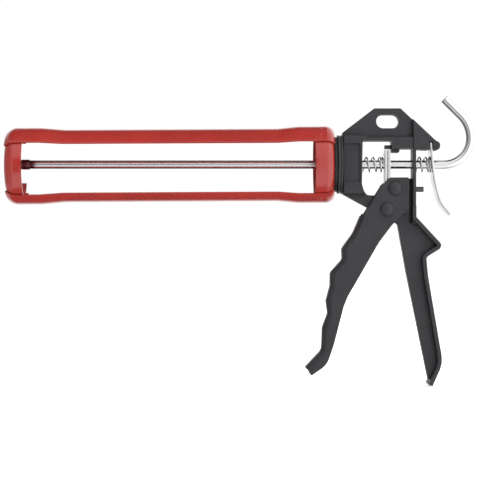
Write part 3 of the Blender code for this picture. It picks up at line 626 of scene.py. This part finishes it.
def far_faces(work):
    """Faces behind the rod's axis."""
    return [face for face in work.faces if face.calc_center_median().y > 0]


def open_far_side(work, half, from_x):
    """Cuts the far side of a shell away between two heights, behind from_x."""
    planes = [((from_x, 0, 0), (1, 0, 0))]
    planes += [((0, 0, height), (0, 0, 1)) for height in (-half, half)]
    for place, facing in planes:
        faces = far_faces(work)
        geom = faces + list({edge for face in faces for edge in face.edges})
        geom += list({vert for face in faces for vert in face.verts})
        bmesh.ops.bisect_plane(work, geom=geom, dist=SCRIBED, plane_co=place,
                               plane_no=facing)
    inside = [face for face in far_faces(work)
              if abs(face.calc_center_median().z) < half
              and face.calc_center_median().x > from_x]
    bmesh.ops.delete(work, geom=inside, context="FACES")


def build_front_cup():
    """A cup with a nozzle hole, open on its far side."""
    sizes = settings().cradle
    plate = SWIVEL.x - sizes.cradle_length
    work = turned(cup_line(plate, plate + sizes.front_depth, sizes.nozzle, sizes.front_corner),
                  180)
    outward(work)
    open_far_side(work, sizes.nozzle, plate - sizes.sheet)
    open_far_side(work, sizes.band_opening / 2, plate + sizes.sheet + sizes.front_corner / 2)
    open_far_side(work, sizes.band_relief / 2, plate + sizes.far_depth)
    stand_cradle(work)
    return pressed(piece("front_cup_pressing", work, "front_cup", smooth=None))


def build_rear_cup():
    """A cup with a round hole for the swivel."""
    sizes = settings().cradle
    plate = SWIVEL.x
    work = turned(cup_line(plate, plate - sizes.rear_depth, sizes.swivel_hole,
                           sizes.rear_corner), 180)
    outward(work)
    stand_cradle(work)
    return pressed(piece("rear_cup_pressing", work, "rear_cup", smooth=None))


def rail_end(plate, corner, away):
    """Where a rail's end turns down, where it stops and how far it drops."""
    sizes = settings().cradle
    reach = corner * math.tan(sizes.rail_wrap / 2)
    turn_at = plate + away * (sizes.gap + sizes.sheet - corner + reach)
    stop_at = turn_at + away * reach * math.cos(sizes.rail_wrap)
    return turn_at, stop_at, reach * math.sin(sizes.rail_wrap)


def rail_line():
    """Outer side of a rail from one cup's bend to the other's."""
    sizes = settings().cradle
    front = SWIVEL.x - sizes.cradle_length
    rear = SWIVEL.x
    lap = sizes.cup_radius + sizes.gap + sizes.sheet
    front_turn, front_stop, front_drop = rail_end(front, sizes.front_corner, -1)
    rear_turn, rear_stop, rear_drop = rail_end(rear, sizes.rear_corner, 1)
    ease = 30 * MM
    line = bent([(front_stop, lap - front_drop, 0), (front_turn, lap, sizes.front_corner),
                 (front + sizes.front_lap, lap, ease),
                 (front + sizes.front_lap + sizes.front_joggle, sizes.cup_radius, ease),
                 (rear - sizes.rear_lap - sizes.rear_joggle, sizes.cup_radius, ease),
                 (rear - sizes.rear_lap, lap, ease),
                 (rear_turn, lap, sizes.rear_corner), (rear_stop, lap - rear_drop, 0)],
                math.radians(1))
    return divided(line, 0.7 * MM)


def weld_dimple(work, place, radius, depth):
    """Presses a shallow round hollow into a sheet at a place on it."""
    for vert in work.verts:
        away = (vert.co - place).length / radius
        if away < 1:
            inward = Vector((0, -vert.co.y, -vert.co.z)).normalized()
            vert.co += inward * depth * (1 - away * away) ** 2


def build_rail(name, node, start):
    """A rail with two spot welds over each cup, from an angle about the rod's axis."""
    sizes = settings().cradle
    work = turned(rail_line(), 32, start, sizes.rail_width)
    outward(work)
    lap = sizes.cup_radius + sizes.gap + sizes.sheet
    share_of_depth = 0.62
    shares_of_width = (0.27, 0.73)
    front_weld = SWIVEL.x - sizes.cradle_length + sizes.front_depth * share_of_depth
    rear_weld = SWIVEL.x - sizes.rear_depth * share_of_depth
    for x in (front_weld, rear_weld):
        for share in shares_of_width:
            angle = start + sizes.rail_width * share
            place = Vector((x, -lap * math.sin(angle), lap * math.cos(angle)))
            weld_dimple(work, place, sizes.weld_radius, sizes.weld_depth)
    stand_cradle(work)
    return pressed(piece(name, work, node, smooth=None))


# ---------------------------------------------------------------- rod

def build_rod():
    """The drawn rod: a round section run straight, then round the hook's two bends."""
    sizes = settings().rod
    start = ends("push_rod")[0]
    straight_steps, bend_steps, crown_steps, tip_steps = 60, 30, 18, 8
    first_bend = math.radians(90)
    second_bend = math.radians(45)
    work = bmesh.new()
    bmesh.ops.create_circle(work, cap_ends=True, segments=40, radius=sizes.radius,
                            matrix=Matrix.Translation((start, 0, 0))
                            @ Matrix.Rotation(math.radians(90), 4, "Y"))
    run = (sizes.bend_start - start) / straight_steps
    end = swept(work, list(work.faces), cent=(0, 0, 0), axis=(1, 0, 0), angle=0.0,
                dvec=(run, 0, 0), steps=straight_steps)
    bend = Vector((sizes.bend_start, 0, sizes.hook_radius))
    end = swept(work, end, cent=bend, axis=(0, 1, 0), angle=-first_bend, steps=bend_steps)
    crown = bend + Vector((sizes.hook_radius - sizes.hook_top_radius, 0, 0))
    end = swept(work, end, cent=crown, axis=(0, 1, 0), angle=-second_bend, steps=crown_steps)
    tip = Vector((-1, 0, 1)).normalized() * (sizes.hook_tip / tip_steps)
    end = swept(work, end, cent=(0, 0, 0), axis=tip, angle=0.0, dvec=tip, steps=tip_steps)
    rim = list(end[0].edges)
    bmesh.ops.recalc_face_normals(work, faces=work.faces)
    bmesh.ops.bevel(work, geom=rim, offset=0.5 * MM, offset_type="OFFSET", segments=4,
                    profile=0.5, affect="EDGES", material=-1, clamp_overlap=True)
    return piece("push_rod_drawn", work, "push_rod", smooth=50)


def build_collar():
    """The dark ring on the rod's end."""
    low, high = ends("rod_collar")
    outer = half_width("rod_collar")
    clearance = 0.24 * MM
    edge = 0.15 * MM
    work = washer(low, high, settings().rod.radius + clearance, outer, edge, 64)
    return piece("rod_collar_ring", work, "rod_collar", "weld_dark")


def build_push_plate():
    """A disc with rounded rims, and a boss whose socket takes the rod."""
    sizes = settings().rod
    low, high = ends("push_plate")
    outer = half_width("push_plate")
    rim = 0.8 * MM
    chamfer = 0.5 * MM
    socket = sizes.radius + 0.3 * MM
    socket_floor = 1.6 * MM
    corners = [(low, 0, 0), (low, outer, rim), (sizes.plate_sheet, outer, rim),
               (sizes.plate_sheet, sizes.boss_radius + rim, rim),
               (high - chamfer, sizes.boss_radius, 0.3 * MM),
               (high, sizes.boss_radius - chamfer, 0.2 * MM), (high, socket, 0),
               (socket_floor, socket, 0), (socket_floor, 0, 0)]
    work = turned(divided(bent(corners, math.radians(20)), 3 * MM), 128)
    return piece("push_plate_disc", work, "push_plate")


# ---------------------------------------------------------------- swivel

def build_flange():
    """Cast flange with a rounded rim and a shallow groove round its edge."""
    low, high = ends("swivel_flange")
    outer = half_width("swivel_flange")
    bore = settings().cradle.swivel_hole
    middle = (low + high) / 2
    groove = 0.35 * MM
    floor = outer - 1.4 * groove
    corners = [(low, bore), (low, outer), (middle - 2 * groove, outer), (middle - groove, floor),
               (middle + groove, floor), (middle + 2 * groove, outer), (high, outer),
               (high, bore)]
    work = turned(round_edged(corners, 0.3 * MM), 128, closed=True)
    return piece("swivel_flange_ring", work, "swivel_flange")


def build_washer(node, name, edge):
    """A washer of the swivel, on the swivel's hole."""
    low, high = ends(node)
    bore = settings().cradle.swivel_hole
    return piece(name, washer(low, high, bore, half_width(node), edge), node)


# ---------------------------------------------------------------- pins and springs

def build_stop_pin():
    """A peg with a rounded end, along the rod."""
    low, high = ends("stop_pin")
    below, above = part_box("stop_pin")
    radius = (above.z - below.z) / 2
    height = (above.z + below.z) / 2
    corners = [(low, 0, 0), (low, radius, 0.2 * MM), (high, radius, 0.5 * MM), (high, 0, 0)]
    work = turned(divided(bent(corners, math.radians(18)), 1 * MM), 48)
    bmesh.ops.translate(work, verts=work.verts, vec=(0, 0, height))
    return piece("stop_pin_peg", work, "stop_pin")


def build_pin(node, name, shank):
    """A pin across the trigger with a domed head at each end."""
    below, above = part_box(node)
    middle = (below + above) / 2
    head = settings().head.pin_radius
    inner = above.y - settings().head.pin_height
    rim = 0.3 * MM
    dome_steps = 12
    half = [Vector((0, shank)), Vector((inner, shank)), Vector((inner, head))]
    for step in range(dome_steps + 1):
        angle = math.radians(90) * step / dome_steps
        rise = (above.y - inner - rim) * math.sin(angle)
        half.append(Vector((inner + rim + rise, head * math.cos(angle))))
    half[-1].y = 0
    mirrored = [Vector((-point.x, point.y)) for point in half[:0:-1]]
    work = turned(mirrored + half, 64)
    lay_across = Matrix.Translation(middle) @ Matrix.Rotation(math.radians(90), 4, "Z")
    bmesh.ops.transform(work, matrix=lay_across, verts=work.verts)
    return piece(name, work, node)


def build_coil(node, name, open_turns):
    """Spring wire wound round the rod, with closed coils at its moving end."""
    sizes = settings().head
    low, high = ends(node)
    closed_turns = 1.1
    closed_pitch = 2 * sizes.wire + 0.3 * MM
    steps_per_turn = 36
    room = high - low - 2 * sizes.wire
    open_pitch = (room - closed_turns * closed_pitch) / open_turns
    work = bmesh.new()
    bmesh.ops.create_circle(work, cap_ends=True, segments=14, radius=sizes.wire,
                            matrix=Matrix.Translation((low + sizes.wire, 0, -sizes.coil_radius))
                            @ Matrix.Rotation(math.radians(90), 4, "X"))
    section = list(work.faces)
    for turns, pitch in ((open_turns, open_pitch), (closed_turns, closed_pitch)):
        steps = round(turns * steps_per_turn)
        section = swept(work, section, cent=(0, 0, 0), axis=(1, 0, 0), steps=steps,
                        angle=FULL_TURN * turns, dvec=(pitch * turns / steps, 0, 0))
    bmesh.ops.recalc_face_normals(work, faces=work.faces)
    return piece(name, work, node, smooth=60)


# ---------------------------------------------------------------- operators

class MakeCups(bpy.types.Operator):
    """Presses the front and rear cups of the cradle"""

    bl_idname = "caulking_gun.cups"
    bl_label = "Cups"

    def execute(self, context):
        build_front_cup()
        build_rear_cup()
        return {"FINISHED"}


class MakeRails(bpy.types.Operator):
    """Rolls the two rails between the cups"""

    bl_idname = "caulking_gun.rails"
    bl_label = "Rails"

    def execute(self, context):
        sizes = settings().cradle
        top = NEAR_SIDE - sizes.window / 2 - sizes.rail_width
        build_rail("top_rail_rolled", "top_rail", top)
        build_rail("bottom_rail_rolled", "bottom_rail", NEAR_SIDE + sizes.window / 2)
        return {"FINISHED"}


class MakeRod(bpy.types.Operator):
    """Draws the push rod with its hook, and its collar and plate"""

    bl_idname = "caulking_gun.rod"
    bl_label = "Push rod and plate"

    def execute(self, context):
        build_rod()
        build_collar()
        build_push_plate()
        return {"FINISHED"}


class MakeSwivel(bpy.types.Operator):
    """Turns the flange, washers and nut of the swivel"""

    bl_idname = "caulking_gun.swivel"
    bl_label = "Swivel"

    def execute(self, context):
        build_flange()
        build_washer("friction_washer", "friction_washer_ring", 0.3 * MM)
        build_washer("swivel_washer", "swivel_washer_ring", 0.2 * MM)
        build_flat_faced("swivel_nut", "swivel_nut_hex", 0.4 * MM, NUT_FOLD)
        return {"FINISHED"}


class MakeCastings(bpy.types.Operator):
    """Casts the handle and the trigger"""

    bl_idname = "caulking_gun.castings"
    bl_label = "Castings"

    def execute(self, context):
        edge = settings().head.edge
        build_flat_faced("handle_casting", "handle_cast_body", edge, CAST_FOLD)
        build_flat_faced("trigger", "trigger_cast_body", edge, CAST_FOLD)
        return {"FINISHED"}


class MakePins(bpy.types.Operator):
    """Makes the trigger's two headed pins and the stop pin"""

    bl_idname = "caulking_gun.pins"
    bl_label = "Pins"

    def execute(self, context):
        build_pin("trigger_pivot_pin", "trigger_pivot_rivet", 3.0 * MM)
        build_pin("thrust_pin", "thrust_rivet", 2.6 * MM)
        build_stop_pin()
        return {"FINISHED"}


class MakePlates(bpy.types.Operator):
    """Shears the drive plates and bends the release lever"""

    bl_idname = "caulking_gun.plates"
    bl_label = "Drive plates and lever"

    def execute(self, context):
        edge = settings().head.sheared_edge
        build_flat_faced("drive_plate_front", "drive_plate_front_sheared", edge, SHEARED_FOLD)
        build_flat_faced("drive_plate_rear", "drive_plate_rear_sheared", edge, SHEARED_FOLD)
        build_flat_faced("release_lever", "release_lever_bent", edge, SHEARED_FOLD)
        return {"FINISHED"}


class MakeSprings(bpy.types.Operator):
    """Winds the main spring and the release spring"""

    bl_idname = "caulking_gun.springs"
    bl_label = "Springs"

    def execute(self, context):
        sizes = settings().head
        main = build_coil("main_spring", "main_spring_wound", sizes.open_main)
        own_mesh(main)
        release = build_coil("release_spring", "release_spring_wound", sizes.open_release)
        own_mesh(release)
        return {"FINISHED"}


class MakeStage(bpy.types.Operator):
    """Sets the floor, the light and the camera"""

    bl_idname = "caulking_gun.stage"
    bl_label = "Stage"

    def execute(self, context):
        make_floor()
        make_surround()
        make_lamp("overhead_softbox", (0, 0.1, 1.6), 2.4, 30)
        make_lamp("key_softbox", (1.0, -1.0, 0.9), 0.9, 14)
        make_camera()
        context.scene.view_settings.view_transform = "Standard"
        return {"FINISHED"}


def make_floor():
    """A pale, softly glowing floor just under the gun."""
    sizes = settings().stage
    clearance = 0.5 * MM
    work = bmesh.new()
    bmesh.ops.create_grid(work, x_segments=1, y_segments=1, size=sizes.floor / 2,
                          matrix=Matrix.Translation((0, 0, CAD_BOX[0].z - clearance)))
    mesh = bpy.data.meshes.new("floor")
    work.to_mesh(mesh)
    work.free()
    floor = bpy.data.objects.new("floor", mesh)
    bpy.context.scene.collection.objects.link(floor)
    finish, _, shader = blank_finish("pale_floor", 0.0)
    shader.inputs["Base Color"].default_value = (0.95, 0.95, 0.95, 1)
    shader.inputs["Roughness"].default_value = 0.9
    shader.inputs["Specular IOR Level"].default_value = 0.1
    shader.inputs["Emission Color"].default_value = (1, 1, 1, 1)
    shader.inputs["Emission Strength"].default_value = 0.45
    mesh.materials.append(finish)
    floor.visible_glossy = False


def make_surround():
    """White tent: black flags high and low behind, a black card left of the camera."""
    sizes = settings().stage
    world = bpy.data.worlds.new("white_tent")
    world.use_nodes = True
    tree = world.node_tree
    background = tree.nodes["Background"]
    background.inputs["Color"].default_value = (1, 1, 1, 1)
    coordinates = tree.nodes.new("ShaderNodeTexCoord")
    parts = tree.nodes.new("ShaderNodeSeparateXYZ")
    tree.links.new(coordinates.outputs["Generated"], parts.inputs["Vector"])
    x, y, z = parts.outputs
    height = arithmetic(tree, "ABSOLUTE", z)
    along_flag = arithmetic(tree, "ADD", arithmetic(tree, "MULTIPLY", y, FLAG_TILT[0]),
                            arithmetic(tree, "MULTIPLY", height, FLAG_TILT[1]))
    flags = arithmetic(tree, "MULTIPLY", spread(tree, along_flag, *FLAG_RIM, 0, 1),
                       spread(tree, x, *FLAG_RIGHT, 1, FLAG_RIGHT_SHARE))
    across = arithmetic(tree, "ABSOLUTE", arithmetic(tree, "SUBTRACT", x, CARD_MIDDLE))
    upright = arithmetic(tree, "MULTIPLY", spread(tree, across, *CARD_SIDE, 1, 0),
                         spread(tree, height, *CARD_END, 1, 0))
    card = arithmetic(tree, "MULTIPLY", upright, spread(tree, y, *CARD_FRONT, 1, 0))
    black = arithmetic(tree, "MAXIMUM", flags, card)
    lit = spread(tree, black, 0, 1, 1, sizes.flag)
    sides = arithmetic(tree, "MULTIPLY", spread(tree, x, *RIGHT_SIDE, 1, sizes.right),
                       spread(tree, x, *LEFT_SIDE, sizes.left, 1))
    studio = arithmetic(tree, "MULTIPLY", arithmetic(tree, "MULTIPLY", lit, sides), sizes.tent)
    seen = tree.nodes.new("ShaderNodeLightPath").outputs["Is Camera Ray"]
    wire_up(tree, arithmetic(tree, "MAXIMUM", studio, seen), background.inputs["Strength"])
    bpy.context.scene.world = world


def make_lamp(name, away, size, power):
    """A square soft lamp that lights the gun but isn't mirrored in it."""
    low, high = CAD_BOX
    middle = (low + high) / 2
    lamp = bpy.data.lights.new(name, "AREA")
    lamp.shape = "SQUARE"
    lamp.size = size
    lamp.energy = power
    thing = bpy.data.objects.new(name, lamp)
    thing.location = middle + Vector(away)
    thing.rotation_mode = "QUATERNION"
    thing.rotation_quaternion = (-Vector(away)).to_track_quat("-Z", "Y")
    thing.visible_glossy = False
    bpy.context.scene.collection.objects.link(thing)


def make_camera():
    """A camera level with the gun and square to its near side."""
    sizes = settings().stage
    camera = bpy.data.cameras.new("camera")
    camera.sensor_width = 36
    camera.lens = camera.sensor_width * sizes.distance / sizes.view_width
    camera.dof.use_dof = False
    thing = bpy.data.objects.new("camera", camera)
    thing.location = (sizes.view_along, -sizes.distance, -sizes.view_drop)
    thing.rotation_euler = (math.radians(90), 0, 0)
    bpy.context.scene.collection.objects.link(thing)
    bpy.context.scene.camera = thing


# ---------------------------------------------------------------- panel and registration

STEPS = (MakeStage, MakeCups, MakeRails, MakeRod, MakeSwivel, MakeCastings, MakePins,
         MakePlates, MakeSprings)


class GunPanel(bpy.types.Panel):
    """Lists the steps that build the caulking gun"""

    bl_idname = "VIEW3D_PT_caulking_gun"
    bl_label = "Caulking Gun"
    bl_space_type = "VIEW_3D"
    bl_region_type = "UI"
    bl_category = "Caulking Gun"

    def draw(self, context):
        for step in STEPS:
            self.layout.operator(step.bl_idname)
        gun = context.scene.caulking_gun
        for group in (gun.cradle, gun.rod, gun.head, gun.finishes, gun.stage):
            box = self.layout.box()
            for name in group.__annotations__:
                box.prop(group, name)


CLASSES = (CradleSizes, RodSizes, HeadSizes, Finishes, StageSizes, GunSettings, *STEPS, GunPanel)


def register():
    for kind in CLASSES:
        bpy.utils.register_class(kind)
    bpy.types.Scene.caulking_gun = PointerProperty(type=GunSettings)


def unregister():
    del bpy.types.Scene.caulking_gun
    for kind in reversed(CLASSES):
        bpy.utils.unregister_class(kind)


def main():
    register()
    for step in STEPS:
        group, name = step.bl_idname.split(".")
        getattr(getattr(bpy.ops, group), name)()
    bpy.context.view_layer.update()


if __name__ == "__main__":
    main()
